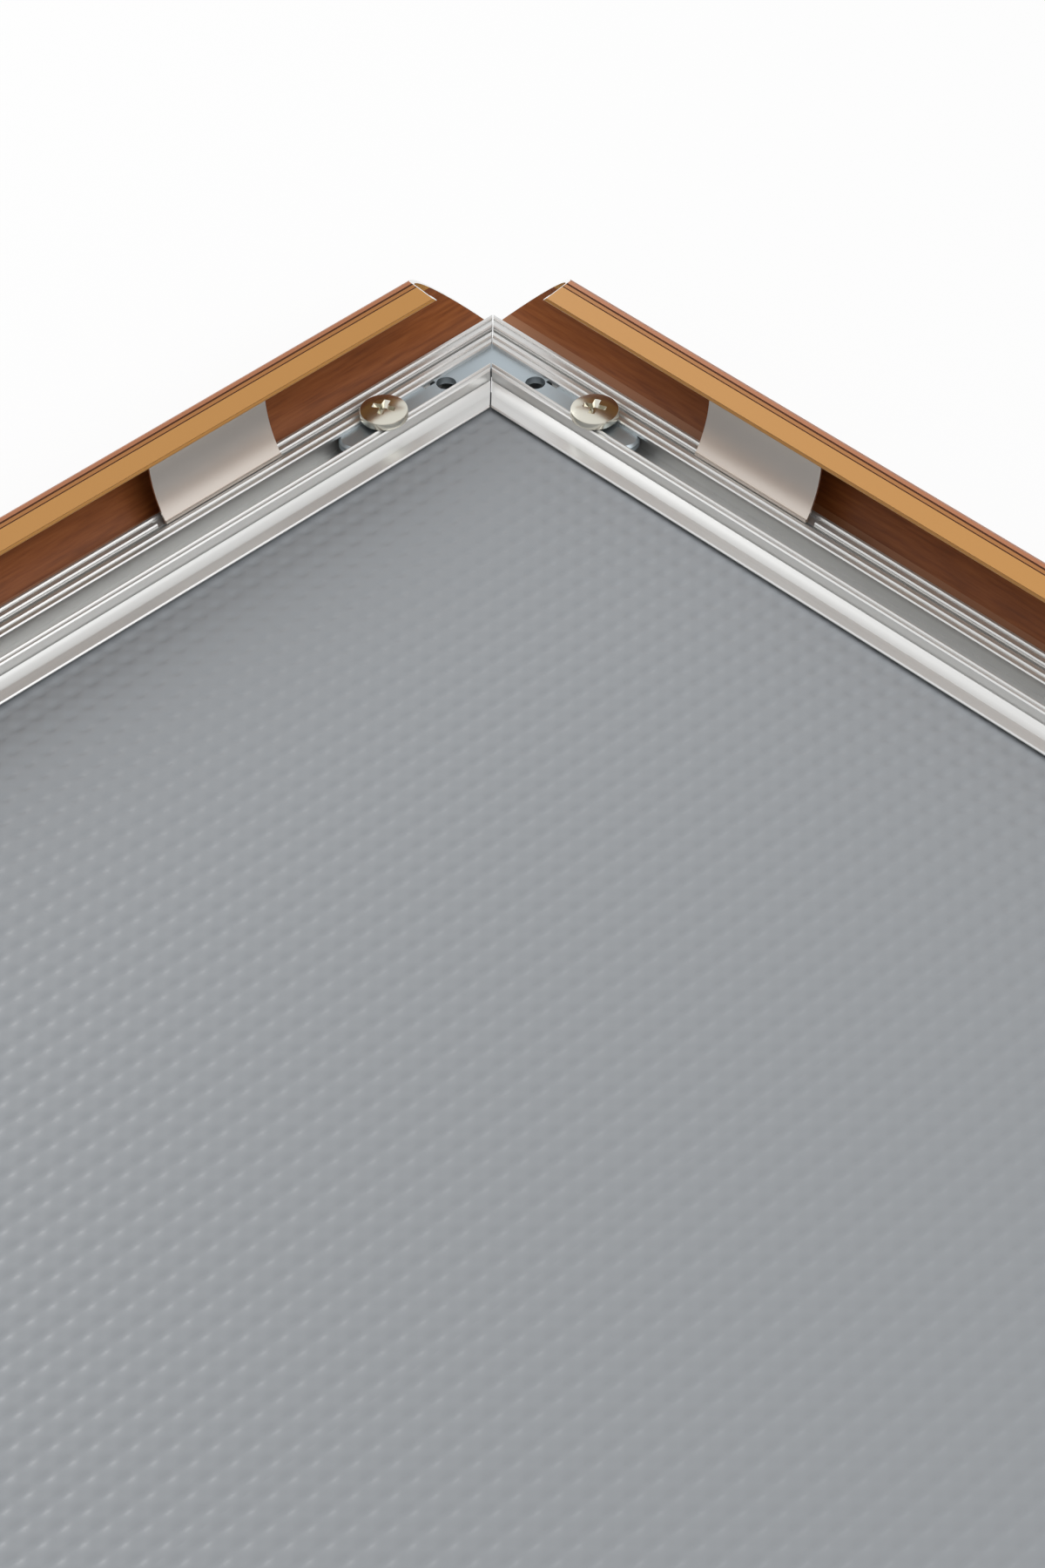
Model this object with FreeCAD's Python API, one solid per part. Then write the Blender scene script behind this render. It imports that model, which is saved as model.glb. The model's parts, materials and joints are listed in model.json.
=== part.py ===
import FreeCAD, Part
import math
import os

from FreeCAD import Vector

# Snap frame for an A2 poster, lying on its back with all four covers open.
# Section axes: u runs inward from the outer face of the base, z up from the wall.

# Poster and frame size
POSTER_WIDTH = 420.0
POSTER_HEIGHT = 594.0
POSTER_CLEARANCE = 0.55
POSTER_STOP = 16.45
FRAME_WIDTH = POSTER_WIDTH + 2 * (POSTER_STOP + POSTER_CLEARANCE)
FRAME_HEIGHT = POSTER_HEIGHT + 2 * (POSTER_STOP + POSTER_CLEARANCE)
MITRE_GAP = 0.25
COVER_MITRE_GAP = 0.25

# Base profile: levels
FLOOR = 1.3
RIDGE_TOP = 8.0
LIP_TOP = 7.6
LIP_UNDER = 6.4
ROOF_UNDER = 6.75
GROOVE_FLOOR = 7.1
VALLEY_FLOOR = 7.45
FLANGE_UNDER = 3.3
FLANGE_TOP = 4.15
FLANGE_ROOT = 5.1
FLANGE_GROOVE = 4.8

# Base profile: walls and lips across the section
FLOOR_START = 0.4
FLOOR_END = 20.0
CHANNEL_OUTER_WALL = (5.0, 6.3)
CHANNEL_INNER_WALL = (14.9, 16.1)
STOP_CREST = 15.6
MOUTH = (8.0, 13.4)
LIP_GROOVE = 0.7
LIP_EDGE = 0.9
FLANGE_EDGE = 22.6
COVE_END = 19.4
EDGE_BREAK = 0.3

# Hinge between the base and a cover
HINGE_U = 0.6
HINGE_Z = 4.6
BEAD_RADIUS = 1.0
HOOK_INNER_RADIUS = 1.06
HOOK_OUTER_RADIUS = 1.95
NECK_ANGLE = 20.0
NECK_THICKNESS = 0.85
NECK_ROOT_U = 3.0
HOOK_START_ANGLE = 72.0
HOOK_END_ANGLE = 255.0
HOOK_RELIEF = 2.6
HOOK_RELIEF_TOP = 6.6
OPEN_ANGLE = 80.0

# Cover profile when closed
SKIN = 1.3
SHOULDER = (-1.7, 8.4)
CROWN = (11.5, 16.6)
TIP = (25.2, 11.6)
LIP_FOOT = (23.0, 5.3)
COVER_LIP = 1.2
BULB_RADIUS = 0.95
# Each seam's distance from the tip along the lip, and half its width.
FILM_SEAMS = ((1.0, 0.22), (2.1, 0.14))

# Leaf springs
PIVOT_U = 4.13
PIVOT_Z = 7.9
FOOT_RADIUS = 0.6
SLOT_WIDTH = 1.3
SLOT_SHOULDER = 7.25
SLOT_FLOOR = 6.2
SLOT_NARROW = 0.65
SPRING_LENGTH = 36.0
SPRING_CHORD = 18.2
SPRING_SAG = 1.5
SPRING_THICKNESS = 0.5
SPRING_OPEN_ANGLE = 104.6
SPRING_FROM_CORNER = 92.0
NOTCH_END_CLEARANCE = 1.8
NOTCH_NEAR_CLEARANCE = 0.4
NOTCH_FLOOR = 7.2
SHORT_SIDE_SPRINGS = 2
LONG_SIDE_SPRINGS = 3

# Corner plates, clamp screws and wall holes
SCREW_LINE = 10.7
PLATE_WIDTH = 8.2
PLATE_THICKNESS = 2.0
PLATE_REACH = 60.0
PLATE_HOLE_RADIUS = 2.45
PLATE_HOLE_AT = 26.0
WALL_HOLE_RADIUS = 2.3
PLATE_NOTCH = (27.6, 31.2)
PLATE_NOTCH_DEPTH = 2.1
PLATE_END_CHAMFER = 0.6
SCREW_AT = 46.5
SCREW_RADIUS = 2.4
SCREW_BORE_RADIUS = 2.45
SCREW_HEAD_RADIUS = 5.9
SCREW_HEAD_RIM = 1.7
SCREW_HEAD_HEIGHT = 3.0
SCREW_CROWN_RADIUS = 3.2
SCREW_END = 3.4

# Back panel
PANEL_THICKNESS = 1.2
PANEL_EDGE = 16.6

# The four sides in turn, with the turn of each about Z and its length
SIDES = {
    "bottom": (0, FRAME_WIDTH),
    "right": (90, FRAME_HEIGHT),
    "top": (180, FRAME_WIDTH),
    "left": (270, FRAME_HEIGHT),
}
CORNERS = {
    "bottom": (-FRAME_WIDTH / 2, -FRAME_HEIGHT / 2),
    "right": (FRAME_WIDTH / 2, -FRAME_HEIGHT / 2),
    "top": (FRAME_WIDTH / 2, FRAME_HEIGHT / 2),
    "left": (-FRAME_WIDTH / 2, FRAME_HEIGHT / 2),
}
CORNER_NAMES = {
    "bottom": "bottom_left",
    "right": "bottom_right",
    "top": "top_right",
    "left": "top_left",
}


def on_section(u, z, along=0.0):
    return Vector(along, u, z)


def polar(centre, radius, degrees):
    angle = math.radians(degrees)
    return (centre[0] + radius * math.cos(angle), centre[1] + radius * math.sin(angle))


def line(start, end):
    return Part.LineSegment(on_section(*start), on_section(*end)).toShape()


def arc(start, middle, end):
    return Part.Arc(on_section(*start), on_section(*middle), on_section(*end)).toShape()


def polyline(points):
    return [line(a, b) for a, b in zip(points, points[1:])]


def face_of(edges):
    return Part.Face(Part.Wire(edges))


def disc(centre, radius):
    circle = Part.Circle(on_section(*centre), Vector(1, 0, 0), radius)
    return face_of([circle.toShape()])


def place(shape, side):
    # From the side's own frame, X along it and Y inward, to the frame of the object.
    turn, _ = SIDES[side]
    x, y = CORNERS[side]
    placed = shape.copy()
    placed.Placement = FreeCAD.Placement(
        Vector(x, y, 0), FreeCAD.Rotation(Vector(0, 0, 1), turn)
    ).multiply(placed.Placement)
    return placed


def export(shape, node):
    shape.exportStep("parts/" + node + ".step")


def mitre_cutter(gap, at_far_end, length):
    # Everything beyond the 45 degree plane at one end of a side, over its whole height.
    low, high, far = -30.0, 60.0, 120.0
    corners = [(-far, low), (low + gap, low), (high + gap, high), (-far, high)]
    if at_far_end:
        corners = [(length - along, u) for along, u in corners]
    points = [Vector(along, u, low) for along, u in corners]
    wedge = Part.Face(Part.makePolygon(points + points[:1]))
    return wedge.extrude(Vector(0, 0, far))


def mitred(rail, length, gap):
    cutters = [mitre_cutter(gap, far_end, length) for far_end in (False, True)]
    return rail.cut(cutters)


def base_outline():
    # One closed outline, from the back of the floor round the flange, the channel,
    # the spring slot and the hinge bead, back to the floor.
    outer_wall, outer_wall_in = CHANNEL_OUTER_WALL
    inner_wall, inner_wall_in = CHANNEL_INNER_WALL
    slot = (PIVOT_U - SLOT_WIDTH / 2, PIVOT_U + SLOT_WIDTH / 2)
    slot_deep = (PIVOT_U - SLOT_NARROW / 2, PIVOT_U + SLOT_NARROW / 2)
    hinge = (HINGE_U, HINGE_Z)
    half_neck = math.degrees(math.asin(NECK_THICKNESS / 2 / BEAD_RADIUS))
    neck_top = polar(hinge, BEAD_RADIUS, NECK_ANGLE + half_neck)
    neck_bottom = polar(hinge, BEAD_RADIUS, NECK_ANGLE - half_neck)
    neck_rise = math.tan(math.radians(NECK_ANGLE))
    neck_top_root = (NECK_ROOT_U, neck_top[1] + (NECK_ROOT_U - neck_top[0]) * neck_rise)
    neck_bottom_root = (outer_wall, neck_bottom[1] + (outer_wall - neck_bottom[0]) * neck_rise)

    flange_side = [
        (FLOOR_START, FLOOR),
        (FLOOR_START, 0),
        (FLOOR_END, 0),
        (FLOOR_END, FLOOR),
        (inner_wall_in, FLOOR),
        (inner_wall_in, FLANGE_UNDER),
        (FLANGE_EDGE, FLANGE_UNDER),
        (FLANGE_EDGE, FLANGE_TOP),
        (COVE_END, FLANGE_TOP),
    ]
    # The cove leaves the flat of the flange and steepens up to the poster stop.
    flange_root = (POSTER_STOP, FLANGE_ROOT)
    cove_run = COVE_END - POSTER_STOP
    cove_rise = FLANGE_ROOT - FLANGE_TOP
    cove_radius = (cove_run ** 2 + cove_rise ** 2) / (2 * cove_rise)
    half_cove = math.degrees(math.asin(cove_run / cove_radius)) / 2
    cove_middle = polar((COVE_END, FLANGE_TOP + cove_radius), cove_radius, 270 - half_cove)
    cove = arc((COVE_END, FLANGE_TOP), cove_middle, flange_root)
    poster_stop = [
        flange_root,
        (POSTER_STOP, FLANGE_GROOVE),
        (inner_wall_in, FLANGE_GROOVE),
        (STOP_CREST, LIP_TOP),
    ]
    channel = [
        (inner_wall, LIP_TOP),
        (inner_wall, GROOVE_FLOOR),
        (inner_wall - LIP_GROOVE, GROOVE_FLOOR),
        (inner_wall - LIP_GROOVE, LIP_TOP),
        (MOUTH[1], LIP_TOP),
        (MOUTH[1], LIP_UNDER),
        (inner_wall, LIP_UNDER),
        (inner_wall, FLOOR),
        (outer_wall_in, FLOOR),
        (outer_wall_in, LIP_UNDER),
        (MOUTH[0], LIP_UNDER),
        (MOUTH[0], LIP_TOP),
        (MOUTH[0] - LIP_EDGE, LIP_TOP),
        (MOUTH[0] - LIP_EDGE, GROOVE_FLOOR),
        (outer_wall_in - 0.25, GROOVE_FLOOR),
        (outer_wall_in - 0.25, LIP_TOP),
    ]
    spring_slot = [
        (slot[1], LIP_TOP),
        (slot[1], SLOT_SHOULDER),
        (slot_deep[1], SLOT_SHOULDER),
        (slot_deep[1], SLOT_FLOOR),
        (slot_deep[0], SLOT_FLOOR),
        (slot_deep[0], SLOT_SHOULDER),
        (slot[0], SLOT_SHOULDER),
        (slot[0], RIDGE_TOP),
    ]
    ridges = [
        (2.1, RIDGE_TOP),
        (2.1, VALLEY_FLOOR),
        (1.2, VALLEY_FLOOR),
        (1.2, RIDGE_TOP),
        (0, RIDGE_TOP),
        (0, ROOF_UNDER),
        (NECK_ROOT_U, ROOF_UNDER),
        neck_top_root,
        neck_top,
    ]
    bead = arc(neck_top, polar(hinge, BEAD_RADIUS, NECK_ANGLE + 180), neck_bottom)
    under_roof = [neck_bottom, neck_bottom_root, (outer_wall, FLOOR), (FLOOR_START, FLOOR)]
    inside = polyline(poster_stop + channel + spring_slot + ridges)
    return polyline(flange_side) + [cove] + inside + [bead] + polyline(under_roof)


def spring_starts(length):
    # Where each spring on a side begins, evenly spread between the two end ones.
    count = SHORT_SIDE_SPRINGS if length == FRAME_WIDTH else LONG_SIDE_SPRINGS
    reach = length - 2 * SPRING_FROM_CORNER
    centres = [SPRING_FROM_CORNER + reach * i / (count - 1) for i in range(count)]
    return [centre - SPRING_LENGTH / 2 for centre in centres]


def base_rail(length):
    rail = face_of(base_outline()).extrude(Vector(length, 0, 0))
    # Every corner on top of the ridges and lips is broken, and so is the flange's edge.
    corners = [
        edge for edge in rail.Edges
        if edge.BoundBox.XLength > length / 2
        and (edge.BoundBox.ZMin > LIP_TOP - 0.01 or edge.BoundBox.YMin > FLANGE_EDGE - 0.01)
    ]
    rail = rail.makeChamfer(EDGE_BREAK, corners)
    rail = mitred(rail, length, MITRE_GAP)
    cutters = []
    for start in spring_starts(length):
        # The wider end of a notch faces away from the nearer corner.
        faces_far_end = start < length / 2
        near = NOTCH_NEAR_CLEARANCE if faces_far_end else NOTCH_END_CLEARANCE
        run = SPRING_LENGTH + NOTCH_NEAR_CLEARANCE + NOTCH_END_CLEARANCE
        notch_width = PIVOT_U - SLOT_WIDTH / 2 - 1.2
        notch = Part.makeBox(run, notch_width, 2.0, Vector(start - near, 1.2, NOTCH_FLOOR))
        cutters.append(notch)
    for at in (PLATE_HOLE_AT, length - PLATE_HOLE_AT):
        hole = Part.makeCylinder(WALL_HOLE_RADIUS, 2 * FLOOR, Vector(at, SCREW_LINE, -FLOOR / 2))
        cutters.append(hole)
    return rail.cut(cutters)


def lip_direction():
    run = (LIP_FOOT[0] - TIP[0], LIP_FOOT[1] - TIP[1])
    length = math.hypot(*run)
    return (run[0] / length, run[1] / length)


def film_seam(drop, half):
    # A V cut into the outer face of the lip, where one finish meets the next.
    along = lip_direction()
    middle = (TIP[0] + along[0] * drop, TIP[1] + along[1] * drop)
    above = (middle[0] - along[0] * half, middle[1] - along[1] * half)
    below = (middle[0] + along[0] * half, middle[1] + along[1] * half)
    deep = (middle[0] + along[1] * half, middle[1] - along[0] * half)
    return face_of(polyline([above, deep, below, above]))


def cover_outline():
    # The closed cover: hook round the bead, arched skin and lip.
    hinge = (HINGE_U, HINGE_Z)
    skin = arc(SHOULDER, CROWN, TIP)
    centre = (skin.Curve.Center.y, skin.Curve.Center.z)
    inner_radius = skin.Curve.Radius - SKIN

    def inner(point):
        away = math.atan2(point[1] - centre[1], point[0] - centre[0])
        return polar(centre, inner_radius, math.degrees(away))

    along_lip = lip_direction()
    inside_lip = (along_lip[1] * COVER_LIP, -along_lip[0] * COVER_LIP)
    foot_inside = (LIP_FOOT[0] + inside_lip[0], LIP_FOOT[1] + inside_lip[1])
    # The inner corner, where the inside of the lip meets the inside of the skin.
    reach = (TIP[0] + inside_lip[0] - centre[0], TIP[1] + inside_lip[1] - centre[1])
    along = reach[0] * along_lip[0] + reach[1] * along_lip[1]
    across = reach[0] ** 2 + reach[1] ** 2 - inner_radius ** 2
    step = -along - math.sqrt(along ** 2 - across)
    if step < 0:
        step = -along + math.sqrt(along ** 2 - across)
    pocket = (
        TIP[0] + inside_lip[0] + along_lip[0] * step,
        TIP[1] + inside_lip[1] + along_lip[1] * step,
    )
    leg_outer = (HINGE_U - HOOK_OUTER_RADIUS, HINGE_Z)
    hook_tip = polar(hinge, HOOK_OUTER_RADIUS, HOOK_START_ANGLE)
    hook_tip_inner = polar(hinge, HOOK_INNER_RADIUS, HOOK_START_ANGLE)
    hook_end = polar(hinge, HOOK_OUTER_RADIUS, HOOK_END_ANGLE)
    hook_end_inner = polar(hinge, HOOK_INNER_RADIUS, HOOK_END_ANGLE)
    shoulder_inner = inner(SHOULDER)
    leg_joint = polar(hinge, HOOK_OUTER_RADIUS, 140)
    return [
        arc(hook_end, polar(hinge, HOOK_OUTER_RADIUS, 215), leg_outer),
        line(leg_outer, SHOULDER),
        skin,
        line(TIP, LIP_FOOT),
        line(LIP_FOOT, foot_inside),
        line(foot_inside, pocket),
        arc(pocket, inner(CROWN), shoulder_inner),
        line(shoulder_inner, leg_joint),
        arc(leg_joint, polar(hinge, HOOK_OUTER_RADIUS, 105), hook_tip),
        line(hook_tip, hook_tip_inner),
        arc(hook_tip_inner, polar(hinge, HOOK_INNER_RADIUS, 165), hook_end_inner),
        line(hook_end_inner, hook_end),
    ]


def cover_rail(length):
    section = face_of(cover_outline())
    bulb_centre = (LIP_FOOT[0] - COVER_LIP, LIP_FOOT[1] + BULB_RADIUS)
    run = Vector(length, 0, 0)
    bulb = disc(bulb_centre, BULB_RADIUS).extrude(run)
    cover = section.extrude(run).fuse(bulb).removeSplitter()
    cover = cover.cut([film_seam(*seam).extrude(run) for seam in FILM_SEAMS])
    cover = mitred(cover, length, COVER_MITRE_GAP)
    # The hooks stop short of the corners, so that neighbouring covers turn freely.
    margin = 5.0
    size = (HOOK_RELIEF + margin, HOOK_RELIEF + margin, HOOK_RELIEF_TOP)
    reliefs = [Part.makeBox(*size, Vector(at, -margin, 0)) for at in (-margin, length - HOOK_RELIEF)]
    cover = cover.cut(reliefs)
    cover.rotate(on_section(HINGE_U, HINGE_Z), Vector(1, 0, 0), OPEN_ANGLE)
    return cover


def spring_outline():
    # A leaf of even thickness on an arc, springing from the pivot in the slot.
    pivot = (PIVOT_U, PIVOT_Z)
    radius = (SPRING_CHORD ** 2 / 4 + SPRING_SAG ** 2) / (2 * SPRING_SAG)
    tip = polar(pivot, SPRING_CHORD, SPRING_OPEN_ANGLE)
    middle = polar(pivot, SPRING_CHORD / 2, SPRING_OPEN_ANGLE)
    centre = polar(middle, radius - SPRING_SAG, SPRING_OPEN_ANGLE - 90)

    def at(point, offset):
        away = math.atan2(point[1] - centre[1], point[0] - centre[0])
        return polar(centre, radius + offset, math.degrees(away))

    half = SPRING_THICKNESS / 2
    return [
        arc(at(pivot, half), at(middle, half), at(tip, half)),
        line(at(tip, half), at(tip, -half)),
        arc(at(tip, -half), at(middle, -half), at(pivot, -half)),
        line(at(pivot, -half), at(pivot, half)),
    ]


def leaf_spring(start):
    run = Vector(SPRING_LENGTH, 0, 0)
    # The edge is folded into a square foot, small enough to turn in the slot.
    turns = [SPRING_OPEN_ANGLE + 45 + 90 * i for i in range(5)]
    corners = [polar((PIVOT_U, PIVOT_Z), FOOT_RADIUS, turn) for turn in turns]
    foot = face_of(polyline(corners)).extrude(run)
    leaf = face_of(spring_outline()).extrude(run).fuse(foot).removeSplitter()
    leaf.translate(Vector(start, 0, 0))
    return leaf


def corner_plate():
    # An L with rounded arms, clamped up under the lips of the two channels.
    outer = SCREW_LINE - PLATE_WIDTH / 2
    bottom = LIP_UNDER - PLATE_THICKNESS
    straight = PLATE_REACH - PLATE_WIDTH / 2
    height = Vector(0, 0, bottom)
    size = (PLATE_WIDTH, PLATE_THICKNESS)
    arms = [
        Part.makeBox(straight - outer, size[0], size[1], Vector(outer, outer, bottom)),
        Part.makeBox(size[0], straight - outer, size[1], Vector(outer, outer, bottom)),
    ]
    for at in (Vector(straight, SCREW_LINE, 0), Vector(SCREW_LINE, straight, 0)):
        arms.append(Part.makeCylinder(PLATE_WIDTH / 2, PLATE_THICKNESS, at + height))
    plate = arms[0].fuse(arms[1:]).removeSplitter()
    # The arms' round ends are broken along the top, where they enter the channels.
    ends = [
        edge for edge in plate.Edges
        if edge.BoundBox.ZMin > LIP_UNDER - 0.01 and isinstance(edge.Curve, Part.Circle)
        and edge.Curve.Radius > 2
    ]
    plate = plate.makeChamfer(PLATE_END_CHAMFER, ends)
    cutters = []
    notch_run = PLATE_NOTCH[1] - PLATE_NOTCH[0]
    for swap in (False, True):
        for at, radius in ((PLATE_HOLE_AT, PLATE_HOLE_RADIUS), (SCREW_AT, SCREW_BORE_RADIUS)):
            centre = (SCREW_LINE, at) if swap else (at, SCREW_LINE)
            cutters.append(Part.makeCylinder(radius, 20, Vector(*centre, 0)))
        if swap:
            notch = Part.makeBox(PLATE_NOTCH_DEPTH, notch_run, 20, Vector(outer, PLATE_NOTCH[0], 0))
        else:
            notch = Part.makeBox(notch_run, PLATE_NOTCH_DEPTH, 20, Vector(PLATE_NOTCH[0], outer, 0))
        cutters.append(notch)
    return plate.cut(cutters)


def clamp_screw():
    # Truss-head machine screw standing on the origin, its head bearing on the lips.
    outline = polyline([
        (0, SCREW_END),
        (SCREW_RADIUS, SCREW_END),
        (SCREW_RADIUS, LIP_TOP),
        (SCREW_HEAD_RADIUS, LIP_TOP),
        (SCREW_HEAD_RADIUS, LIP_TOP + SCREW_HEAD_RIM),
        (SCREW_CROWN_RADIUS, LIP_TOP + SCREW_HEAD_HEIGHT),
        (0, LIP_TOP + SCREW_HEAD_HEIGHT),
        (0, SCREW_END),
    ])
    return face_of(outline).revolve(Vector(0, 0, 0), Vector(0, 0, 1), 360)


def corner_screws(screw):
    pair = []
    for along, across in ((SCREW_AT, SCREW_LINE), (SCREW_LINE, SCREW_AT)):
        copy = screw.copy()
        copy.translate(Vector(along, across, 0))
        pair.append(copy)
    return pair


def back_panel():
    width = FRAME_WIDTH - 2 * PANEL_EDGE
    height = FRAME_HEIGHT - 2 * PANEL_EDGE
    return Part.makeBox(width, height, PANEL_THICKNESS, Vector(-width / 2, -height / 2, FLOOR))


def main():
    os.makedirs("parts", exist_ok=True)
    bases = {length: base_rail(length) for length in (FRAME_WIDTH, FRAME_HEIGHT)}
    covers = {length: cover_rail(length) for length in (FRAME_WIDTH, FRAME_HEIGHT)}
    plate = corner_plate()
    screw = clamp_screw()
    for side, (_, length) in SIDES.items():
        export(place(bases[length], side), "base_rail_" + side)
        export(place(covers[length], side), "cover_rail_" + side)
        for number, start in enumerate(spring_starts(length), 1):
            export(place(leaf_spring(start), side), f"leaf_spring_{side}_{number}")
        corner = CORNER_NAMES[side]
        export(place(plate, side), "corner_plate_" + corner)
        for number, copy in enumerate(corner_screws(screw), 1):
            export(place(copy, side), f"clamp_screw_{corner}_{number}")
    export(back_panel(), "back_panel")


main()
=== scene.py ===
import json
import math

import bmesh
import bpy
from mathutils import Matrix, Vector


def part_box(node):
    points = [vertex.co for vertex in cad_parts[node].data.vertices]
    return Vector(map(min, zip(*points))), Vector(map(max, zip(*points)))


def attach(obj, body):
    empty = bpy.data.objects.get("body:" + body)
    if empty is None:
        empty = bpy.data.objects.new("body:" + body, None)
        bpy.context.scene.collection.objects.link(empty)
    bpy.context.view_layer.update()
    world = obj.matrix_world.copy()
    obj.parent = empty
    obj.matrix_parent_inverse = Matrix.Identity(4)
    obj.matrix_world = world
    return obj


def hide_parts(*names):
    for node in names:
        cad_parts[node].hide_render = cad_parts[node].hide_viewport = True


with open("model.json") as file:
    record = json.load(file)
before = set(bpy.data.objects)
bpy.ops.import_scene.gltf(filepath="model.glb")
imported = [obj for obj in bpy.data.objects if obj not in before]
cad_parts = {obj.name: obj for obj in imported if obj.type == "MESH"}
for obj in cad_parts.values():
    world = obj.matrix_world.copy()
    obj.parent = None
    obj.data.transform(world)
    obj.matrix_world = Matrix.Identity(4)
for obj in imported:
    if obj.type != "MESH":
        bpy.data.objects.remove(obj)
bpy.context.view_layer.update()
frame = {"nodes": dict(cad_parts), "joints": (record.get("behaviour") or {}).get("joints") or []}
nodes = frame["nodes"]
joints = {joint["name"]: joint for joint in frame["joints"]}
mm = 0.001
mergeDistance = 1e-6
sides = ("bottom", "right", "top", "left")
bpy.context.scene.view_settings.view_transform = "Standard"
print("frame loaded:", len(nodes), "nodes")


# Materials

def newMaterial(name, color, roughness, metallic=0.0, specular=0.5):
    material = bpy.data.materials.new(name)
    material.use_nodes = True
    shader = material.node_tree.nodes["Principled BSDF"]
    shader.inputs["Base Color"].default_value = (*color, 1)
    shader.inputs["Roughness"].default_value = roughness
    shader.inputs["Metallic"].default_value = metallic
    shader.inputs["Specular IOR Level"].default_value = specular
    return material, material.node_tree, shader


def stretchedNoise(tree, scale, detail, roughness=0.55):
    # noise pulled out along one axis, for grain and drawn metal
    coordinates = tree.nodes.new("ShaderNodeTexCoord")
    mapping = tree.nodes.new("ShaderNodeMapping")
    noise = tree.nodes.new("ShaderNodeTexNoise")
    mapping.inputs["Scale"].default_value = scale
    noise.inputs["Scale"].default_value = 1.0
    noise.inputs["Detail"].default_value = detail
    noise.inputs["Roughness"].default_value = roughness
    tree.links.new(coordinates.outputs["Object"], mapping.inputs["Vector"])
    tree.links.new(mapping.outputs["Vector"], noise.inputs["Vector"])
    return noise


def colorByNoise(tree, noise, stops, shader):
    ramp = tree.nodes.new("ShaderNodeValToRGB")
    while len(ramp.color_ramp.elements) < len(stops):
        ramp.color_ramp.elements.new(0.5)
    for element, (place, color) in zip(ramp.color_ramp.elements, stops):
        element.position = place
        element.color = (*color, 1)
    tree.links.new(noise.outputs["Fac"], ramp.inputs["Fac"])
    tree.links.new(ramp.outputs["Color"], shader.inputs["Base Color"])


def alongSide(side, along, across):
    # texture scale with its slow direction along the rail
    return (along, across, across) if side in ("bottom", "top") else (across, along, across)


woodSpec = {
    "dark": (0.225, 0.064, 0.0155),
    "middle": (0.305, 0.092, 0.023),
    "light": (0.365, 0.118, 0.032),
    "stops": (0.32, 0.52, 0.70),
    # factor for the inside faces of the cover: the same grain darkened, as painted shade
    "insidePaintedShade": 0.92,
    "roughness": 0.45,
    "specular": 0.3,
    "grainAlong": 75.0,
    "grainAcross": 1000.0,
    "grainDetail": 5,
}


def woodFilm(name, side, shade=1.0):
    material, tree, shader = newMaterial(
        name, woodSpec["middle"], woodSpec["roughness"], 0.0, woodSpec["specular"])
    scale = alongSide(side, woodSpec["grainAlong"], woodSpec["grainAcross"])
    # shade below 1 darkens every grain colour: painted shade
    grain = stretchedNoise(tree, scale, woodSpec["grainDetail"])
    stops = [
        (place, tuple(channel * shade for channel in woodSpec[tone]))
        for place, tone in zip(woodSpec["stops"], ("dark", "middle", "light"))
    ]
    colorByNoise(tree, grain, stops, shader)
    return material


metalSpec = {
    "color": (0.63, 0.63, 0.62),
    "light": (0.68, 0.68, 0.67),
    "stops": (0.3, 0.7),
    "roughness": 0.36,
    "metallic": 0.75,
    "linesAlong": 5.0,
    "linesAcross": 900.0,
    "linesDetail": 2,
}


def drawnMetal(name, side):
    # mill-finish extrusion with faint draw lines
    material, tree, shader = newMaterial(
        name, metalSpec["color"], metalSpec["roughness"], metalSpec["metallic"])
    scale = alongSide(side, metalSpec["linesAlong"], metalSpec["linesAcross"])
    lines = stretchedNoise(tree, scale, metalSpec["linesDetail"])
    stops = list(zip(metalSpec["stops"], (metalSpec["color"], metalSpec["light"])))
    colorByNoise(tree, lines, stops, shader)
    return material


# color, roughness, metallic
plainSpec = {
    "lipCoat": ((0.57, 0.272, 0.066), 0.45, 0.0),
    "noseFilm": ((0.46, 0.175, 0.075), 0.40, 0.0),
    # near-black: painted shade in the grooves between the film bands on the lip
    "paintedGrooveShade": ((0.10, 0.032, 0.010), 0.6, 0.0),
    "bandFilm": ((0.42, 0.165, 0.035), 0.45, 0.0),
    # lighter brown than the wood: painted light on the hinge leg where it faces the lamps
    "hingeStripPaintedLight": ((0.36, 0.145, 0.055), 0.45, 0.0),
    "cutEnd": ((0.80, 0.80, 0.79), 0.35, 1.0),
    # tan coat in the pocket by the lip, brighter than lipCoat: partly the coat's own colour,
    # partly painted light against the shade in the pocket
    "pocketCoatPaintedLight": ((0.62, 0.32, 0.08), 0.5, 0.0),
    "springSteel": ((0.68, 0.62, 0.565), 0.28, 1.0),
    "zincPlate": ((0.41, 0.465, 0.50), 0.48, 1.0),
    "nickelScrew": ((0.66, 0.64, 0.56), 0.24, 1.0),
    "greySheet": ((0.30, 0.316, 0.334), 0.44, 0.0),
}
plain = {name: newMaterial(name, *values)[0] for name, values in plainSpec.items()}
print("materials ready")


# Covers: each face takes its finish from its place on the closed section,
# in mm inward and up from the hinge

coverSpec = {
    "closingAngle": 80.0,
    "finishes": ("outside", "inside", "cutEnd", "noseFilm", "paintedGrooveShade",
                 "bandFilm", "lipCoat", "hingeStripPaintedLight", "pocketCoatPaintedLight"),
    "cutFacing": 0.5,
    "hookReach": 2.1,
    "lipStart": 20.0,
    "lipTop": 6.9,
    "lipFacing": 0.2,
    # bands on the lip's inward face, from the top down; the near-black ones are painted shade in
    # the grooves between the films
    "lipBands": ((6.28, "noseFilm"), (5.88, "paintedGrooveShade"),
                 (5.17, "bandFilm"), (4.91, "paintedGrooveShade")),
    "insideOf": (11.0, -3.0),
    "stripEnd": (0.0, 4.4),
    "pocketStart": 12.4,
}


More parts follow.
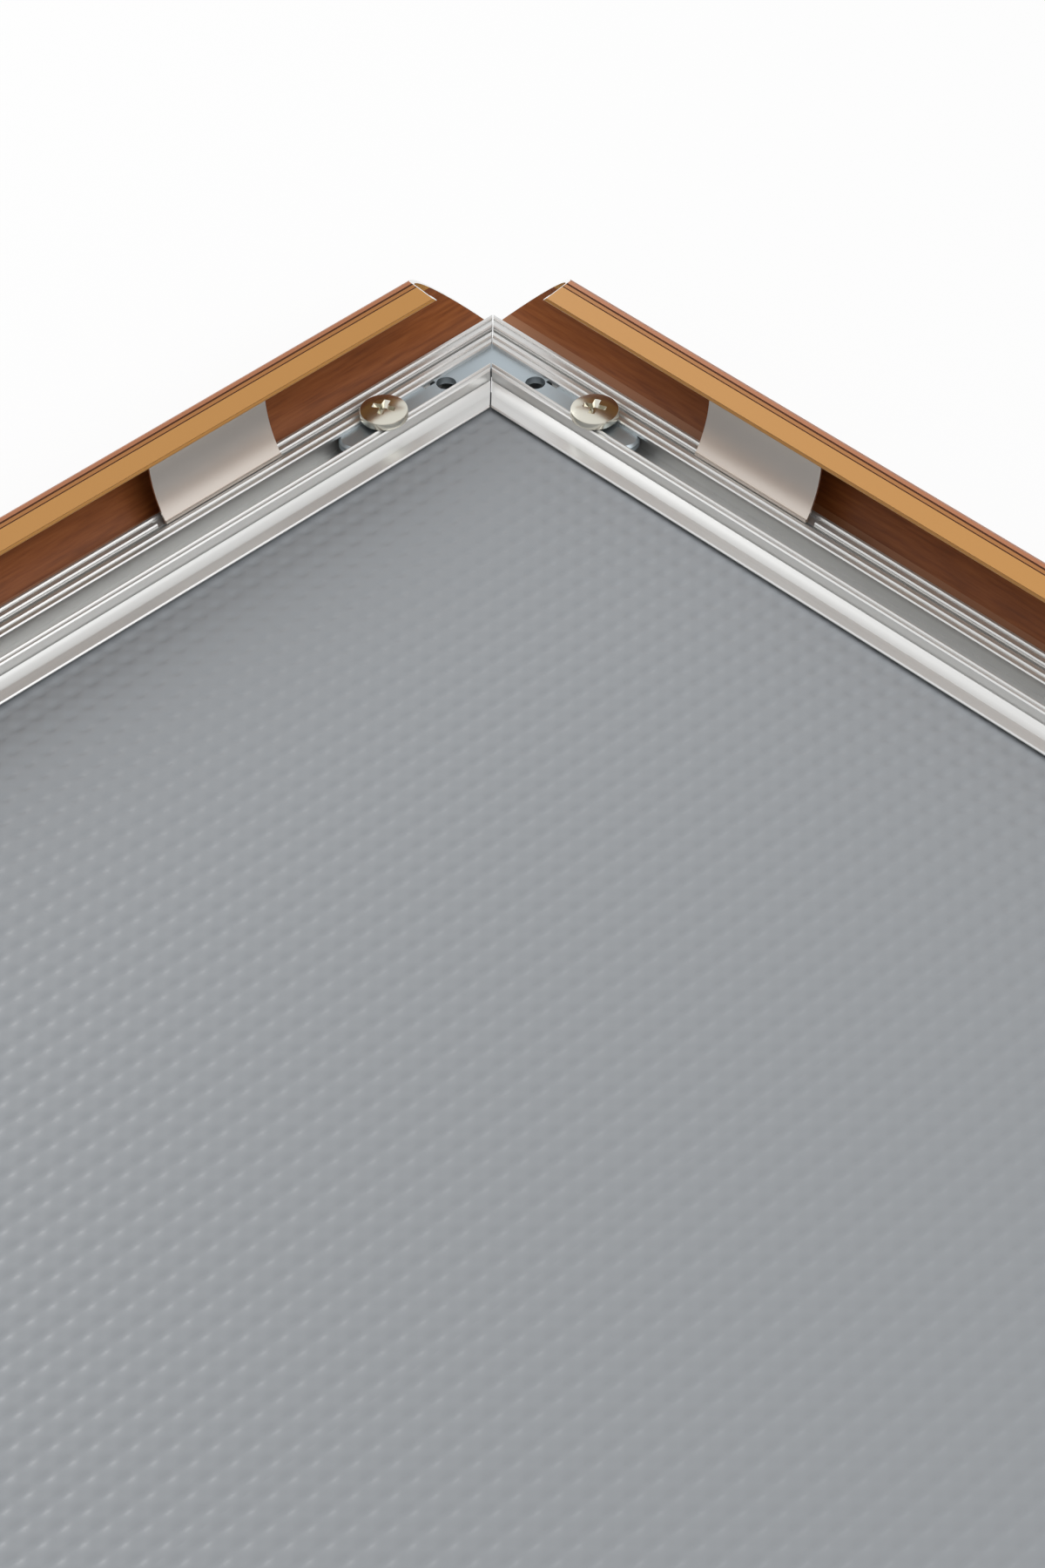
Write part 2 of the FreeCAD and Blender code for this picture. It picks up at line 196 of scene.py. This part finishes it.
def coverRegion(inward, up, normalIn, normalUp, normalAlong):
    if abs(normalAlong) > coverSpec["cutFacing"]:
        return "cutEnd"
    if math.hypot(inward, up) < coverSpec["hookReach"]:
        return "inside"
    if inward > coverSpec["lipStart"] and up < coverSpec["lipTop"]:
        if normalIn > coverSpec["lipFacing"]:
            for lowEdge, finish in coverSpec["lipBands"]:
                if up > lowEdge:
                    return finish
        return "lipCoat"
    middleIn, middleUp = coverSpec["insideOf"]
    if (inward - middleIn) * normalIn + (up - middleUp) * normalUp > 0:
        return "outside"
    # faces on the hinge leg get the lighter brown strip: painted light
    stripIn, stripUp = coverSpec["stripEnd"]
    if inward < stripIn and up < stripUp:
        return "hingeStripPaintedLight"
    # the pocket by the lip takes the brightened tan coat: painted light over the coat's own colour
    return "pocketCoatPaintedLight" if inward > coverSpec["pocketStart"] else "inside"


def finishCover(side):
    node = nodes["cover_rail_" + side]
    hinge = joints["cover_hinge_" + side]
    axis = Vector(hinge["axis"])
    pivot = Vector(hinge["pos_m"])
    inward = axis.cross(Vector((0, 0, 1)))
    closing = Matrix.Rotation(math.radians(coverSpec["closingAngle"]), 3, axis)
    finishes = coverSpec["finishes"]
    own = {
        "outside": woodFilm("woodOutside_" + side, side),
        # the inside faces take the grain darkened: painted shade
        "inside": woodFilm("woodInsidePaintedShade_" + side, side, woodSpec["insidePaintedShade"]),
    }
    node.data.materials.clear()
    for finish in finishes:
        node.data.materials.append(own.get(finish) or plain[finish])
    for face in node.data.polygons:
        place = closing @ (face.center - pivot) / mm
        normal = closing @ face.normal
        region = coverRegion(
            place.dot(inward), place.z, normal.dot(inward), normal.z, normal.dot(axis))
        face.material_index = finishes.index(region)


for side in sides:
    finishCover(side)
print("covers finished")


# Base rails, springs, plates, screws and panel

def setMaterial(node, material):
    node.data.materials.clear()
    node.data.materials.append(material)


finishOf = {
    "leaf_spring": "springSteel",
    "corner_plate": "zincPlate",
    "clamp_screw": "nickelScrew",
    "back_panel": "greySheet",
}
for side in sides:
    setMaterial(nodes["base_rail_" + side], drawnMetal("drawnMetal_" + side, side))
for name, node in nodes.items():
    for start, finish in finishOf.items():
        if name.startswith(start):
            setMaterial(node, plain[finish])
print("other pieces finished")


# Clamp screws: truss heads with a cross recess

screwSpec = {
    "headRadius": 5.9,
    "rimHeight": 2.15,
    "rimRound": 0.3,
    "domeHeight": 0.85,
    "domeRings": (0.85, 0.7, 0.55, 0.4, 0.25, 0.12),
    "shankRadius": 2.4,
    "sides": 40,
    "sharpAngle": 35.0,
    "crossLength": 9.4,
    "crossWidth": 2.3,
    "crossDepth": 1.6,
    "crossTaper": (0.3, 0.4),
    "crossTurn": 28.0,
}


def screwOutline(low, seat):
    # from the shank's foot to the middle of the dome, along one half of the section
    radius = screwSpec["headRadius"]
    shank = screwSpec["shankRadius"]
    rim = seat + screwSpec["rimHeight"]
    dome = screwSpec["domeHeight"]
    edge = screwSpec["rimRound"]
    points = [(0, low), (shank, low), (shank, seat), (radius - edge, seat)]
    points += [(radius, seat + edge), (radius, rim - edge), (radius - edge * 0.5, rim)]
    ball = (radius ** 2 + dome ** 2) / (2 * dome)
    for share in screwSpec["domeRings"]:
        across = radius * share
        points.append((across, rim + dome - ball + math.sqrt(ball ** 2 - across ** 2)))
    points.append((0, rim + dome))
    return points


def screwBody(low, seat):
    mesh = bmesh.new()
    verts = [mesh.verts.new((x * mm, 0, z * mm)) for x, z in screwOutline(low, seat)]
    edges = [mesh.edges.new(pair) for pair in zip(verts, verts[1:])]
    bmesh.ops.spin(
        mesh, geom=verts + edges, cent=(0, 0, 0), axis=(0, 0, 1), angle=math.tau,
        steps=screwSpec["sides"], use_merge=True, use_duplicate=False)
    bmesh.ops.remove_doubles(mesh, verts=mesh.verts, dist=mergeDistance)
    bmesh.ops.recalc_face_normals(mesh, faces=mesh.faces)
    return mesh


def crossCutter(top):
    # two crossed bars that narrow downward
    mesh = bmesh.new()
    length = screwSpec["crossLength"] * mm
    width = screwSpec["crossWidth"] * mm
    depth = screwSpec["crossDepth"] * mm
    for turn in (0, 90):
        made = bmesh.ops.create_cube(mesh, size=1.0)
        bmesh.ops.scale(mesh, vec=(length, width, depth * 2), verts=made["verts"])
        low = [vert for vert in made["verts"] if vert.co.z < 0]
        bmesh.ops.scale(mesh, vec=(*screwSpec["crossTaper"], 1), verts=low)
        angle = math.radians(turn + screwSpec["crossTurn"])
        bmesh.ops.rotate(mesh, matrix=Matrix.Rotation(angle, 3, "Z"), verts=made["verts"])
    bmesh.ops.translate(mesh, vec=(0, 0, top * mm), verts=mesh.verts)
    return mesh


def linkedObject(name, data):
    made = bpy.data.objects.new(name, data)
    bpy.context.scene.collection.objects.link(made)
    return made


def meshObject(mesh, name):
    data = bpy.data.meshes.new(name)
    mesh.to_mesh(data)
    mesh.free()
    return linkedObject(name, data)


def applyModifiers(made):
    graph = bpy.context.evaluated_depsgraph_get()
    finished = bpy.data.meshes.new_from_object(made.evaluated_get(graph))
    made.modifiers.clear()
    made.data = finished


def clampScrews():
    low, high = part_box("clamp_screw_top_left_1")
    seat = high.z / mm - screwSpec["rimHeight"] - screwSpec["domeHeight"]
    pattern = meshObject(screwBody(low.z / mm, seat), "screwPattern")
    cutter = meshObject(crossCutter(high.z / mm), "crossCutter")
    recess = pattern.modifiers.new("recess", "BOOLEAN")
    recess.operation = "DIFFERENCE"
    recess.solver = "EXACT"
    recess.use_self = True  # the two bars overlap
    recess.object = cutter
    applyModifiers(pattern)
    for name in [name for name in nodes if name.startswith("clamp_screw")]:
        low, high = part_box(name)
        middle = (low + high) / 2
        data = pattern.data.copy()
        data.transform(Matrix.Translation((middle.x, middle.y, 0)))
        for face in data.polygons:
            face.use_smooth = True
        data.set_sharp_from_angle(angle=math.radians(screwSpec["sharpAngle"]))
        screw = linkedObject(name.replace("clamp_screw", "trussScrew"), data)
        setMaterial(screw, plain["nickelScrew"])
        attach(screw, "frame")
        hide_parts(name)
    for spare in (pattern, cutter):
        bpy.data.objects.remove(spare)


clampScrews()
print("clamp screws made")


# Back panel: an embossed sheet, laid in four fields to keep each mesh small

sheetSpec = {
    "pitch": 5.393,
    "steps": 6,
    "largeRadius": 2.6,
    "largeNarrowing": 1.5,
    "largeDepth": 0.56,
    "smallRadius": 1.15,
    "smallDepth": 0.14,
    "fieldsAcross": 2,
    "fieldsUp": 2,
}


def hollow(distance, radius, depth):
    # runs out flat at its rim
    share = min(distance / radius, 1.0)
    return -depth * 0.5 * (1 + math.cos(math.pi * share))


def embossedCell():
    # one cell with a long hollow at its middle and a quarter of a small one at each corner
    half = sheetSpec["pitch"] / 2
    steps = sheetSpec["steps"]
    mesh = bmesh.new()
    bmesh.ops.create_grid(mesh, x_segments=steps, y_segments=steps, size=half)
    for vert in mesh.verts:
        fromMiddle = math.hypot(vert.co.x * sheetSpec["largeNarrowing"], vert.co.y)
        fromCorner = math.hypot(half - abs(vert.co.x), half - abs(vert.co.y))
        vert.co.z = hollow(fromMiddle, sheetSpec["largeRadius"], sheetSpec["largeDepth"])
        vert.co.z += hollow(fromCorner, sheetSpec["smallRadius"], sheetSpec["smallDepth"])
    bmesh.ops.scale(mesh, vec=(mm, mm, mm), verts=mesh.verts)
    return mesh


def closeSheet(data, bottom):
    # side walls down from the rim, and a flat back
    mesh = bmesh.new()
    mesh.from_mesh(data)
    bmesh.ops.remove_doubles(mesh, verts=mesh.verts, dist=mergeDistance)
    rim = [edge for edge in mesh.edges if edge.is_boundary]
    front = list(mesh.faces)
    made = bmesh.ops.extrude_edge_only(mesh, edges=rim)["geom"]
    for part in made:
        if isinstance(part, bmesh.types.BMVert):
            part.co.z = bottom
    lowEdges = [part for part in made if isinstance(part, bmesh.types.BMEdge)]
    bmesh.ops.contextual_create(mesh, geom=lowEdges)
    bmesh.ops.recalc_face_normals(mesh, faces=mesh.faces)
    for face in mesh.faces:
        face.smooth = False
    for face in front:
        face.smooth = True
    for edge in rim:
        edge.smooth = False
    mesh.to_mesh(data)
    mesh.free()


def sheetField(name, start, columns, rows, top, bottom):
    step = sheetSpec["pitch"] * mm
    mesh = embossedCell()
    place = (start.x + step / 2, start.y + step / 2, top)
    bmesh.ops.translate(mesh, vec=place, verts=mesh.verts)
    field = meshObject(mesh, name)
    for count, offset in ((columns, (step, 0, 0)), (rows, (0, step, 0))):
        array = field.modifiers.new("rows", "ARRAY")
        array.count = count
        array.use_relative_offset = False
        array.use_constant_offset = True
        array.constant_offset_displace = offset
    applyModifiers(field)
    closeSheet(field.data, bottom)
    setMaterial(field, plain["greySheet"])
    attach(field, "frame")
    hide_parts("back_panel")


def fieldEnds(cells, fields):
    ends = [round(cells * i / fields) for i in range(fields + 1)]
    return enumerate(zip(ends, ends[1:]))


def embossedPanel():
    low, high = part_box("back_panel")
    step = sheetSpec["pitch"] * mm
    columns = int((high.x - low.x) / step)
    rows = int((high.y - low.y) / step)
    startX = (low.x + high.x - columns * step) / 2
    startY = (low.y + high.y - rows * step) / 2
    for column, (left, right) in fieldEnds(columns, sheetSpec["fieldsAcross"]):
        for row, (below, above) in fieldEnds(rows, sheetSpec["fieldsUp"]):
            corner = Vector((startX + left * step, startY + below * step, 0))
            name = "panelSheet_%d%d" % (column, row)
            sheetField(name, corner, right - left, above - below, high.z, low.z)


embossedPanel()
print("panel embossed")


# Floor, light and camera

studioSpec = {
    "floorSize": 8.0,
    "floorDrop": 0.0002,
    "floorColor": (0.9, 0.9, 0.9),
    "floorRoughness": 0.9,
    "floorWhite": 0.85,
    "worldStrength": 0.45,
    "worldWhite": 1.0,
    "lampAim": (-0.1, 0.2, 0),
}

lampSpec = {
    "keyLamp": {"size": 0.9, "power": 19.5, "place": (-1.8, 0.1, 0.9)},
    "fillLamp": {"size": 2.0, "power": 28.0, "place": (1.5, 0.3, 2.0)},
}


def areaLamp(name, size, power, place):
    data = bpy.data.lights.new(name, "AREA")
    data.size = size
    data.energy = power
    lamp = linkedObject(name, data)
    lamp.location = place
    toward = Vector(studioSpec["lampAim"]) - Vector(place)
    lamp.rotation_euler = toward.to_track_quat("-Z", "Y").to_euler()


def whitened(tree, lit, white, share):
    # the camera and reflections see a share of plain white in place of what is lit
    path = tree.nodes.new("ShaderNodeLightPath")
    either = tree.nodes.new("ShaderNodeMath")
    either.operation = "MAXIMUM"
    part = tree.nodes.new("ShaderNodeMath")
    part.operation = "MULTIPLY"
    part.inputs[1].default_value = share
    mixer = tree.nodes.new("ShaderNodeMixShader")
    tree.links.new(path.outputs["Is Camera Ray"], either.inputs[0])
    tree.links.new(path.outputs["Is Glossy Ray"], either.inputs[1])
    tree.links.new(either.outputs["Value"], part.inputs[0])
    tree.links.new(part.outputs["Value"], mixer.inputs["Fac"])
    tree.links.new(lit, mixer.inputs[1])
    tree.links.new(white, mixer.inputs[2])
    return mixer.outputs["Shader"]


def whitePaper():
    material, tree, shader = newMaterial(
        "floorPaper", studioSpec["floorColor"], studioSpec["floorRoughness"])
    glow = tree.nodes.new("ShaderNodeEmission")
    seen = whitened(
        tree, shader.outputs["BSDF"], glow.outputs["Emission"], studioSpec["floorWhite"])
    tree.links.new(seen, tree.nodes["Material Output"].inputs["Surface"])
    return material


def studioWorld():
    world = bpy.data.worlds.new("studioWorld")
    bpy.context.scene.world = world
    world.use_nodes = True
    tree = world.node_tree
    dim = tree.nodes["Background"]
    dim.inputs["Color"].default_value = (1, 1, 1, 1)
    dim.inputs["Strength"].default_value = studioSpec["worldStrength"]
    bright = tree.nodes.new("ShaderNodeBackground")
    bright.inputs["Color"].default_value = (1, 1, 1, 1)
    seen = whitened(
        tree, dim.outputs["Background"], bright.outputs["Background"],
        studioSpec["worldWhite"])
    tree.links.new(seen, tree.nodes["World Output"].inputs["Surface"])


def studioFloor():
    mesh = bmesh.new()
    half = studioSpec["floorSize"] / 2
    bmesh.ops.create_grid(mesh, x_segments=1, y_segments=1, size=half)
    bmesh.ops.translate(mesh, vec=(0, 0, -studioSpec["floorDrop"]), verts=mesh.verts)
    floor = meshObject(mesh, "floor")
    setMaterial(floor, whitePaper())


cameraSpec = {
    "fromCorner": (103.293, -90.021),  # aim, in mm from the outer corner of the top and left rails
    "azimuth": 46.755,
    "elevation": 41.903,
    "roll": -1.246,
    "distance": 986.48,
    "lens": 100.63,
    "sensor": 36.0,
    "shiftUp": -0.05,
}


def photographView():
    corner = Vector((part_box("base_rail_left")[0].x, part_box("base_rail_top")[1].y, 0))
    aim = corner + Vector((*cameraSpec["fromCorner"], 0)) * mm
    turn = math.radians(cameraSpec["azimuth"])
    lift = math.radians(cameraSpec["elevation"])
    roll = math.radians(cameraSpec["roll"])
    flat = math.cos(lift)
    back = Vector((math.sin(turn) * flat, -math.cos(turn) * flat, math.sin(lift)))
    right = Vector((math.cos(turn), math.sin(turn), 0))
    up = back.cross(right)
    rightRolled = right * math.cos(roll) + up * math.sin(roll)
    upRolled = up * math.cos(roll) - right * math.sin(roll)
    data = bpy.data.cameras.new("photographCamera")
    data.lens = cameraSpec["lens"]
    data.sensor_width = cameraSpec["sensor"]
    data.shift_y = cameraSpec["shiftUp"]
    camera = linkedObject("photographCamera", data)
    facing = Matrix((rightRolled, upRolled, back)).transposed().to_4x4()
    camera.matrix_world = Matrix.Translation(aim + back * cameraSpec["distance"] * mm) @ facing
    bpy.context.scene.camera = camera


studioWorld()
studioFloor()
for name, spec in lampSpec.items():
    areaLamp(name, **spec)
photographView()
print("studio and camera set")
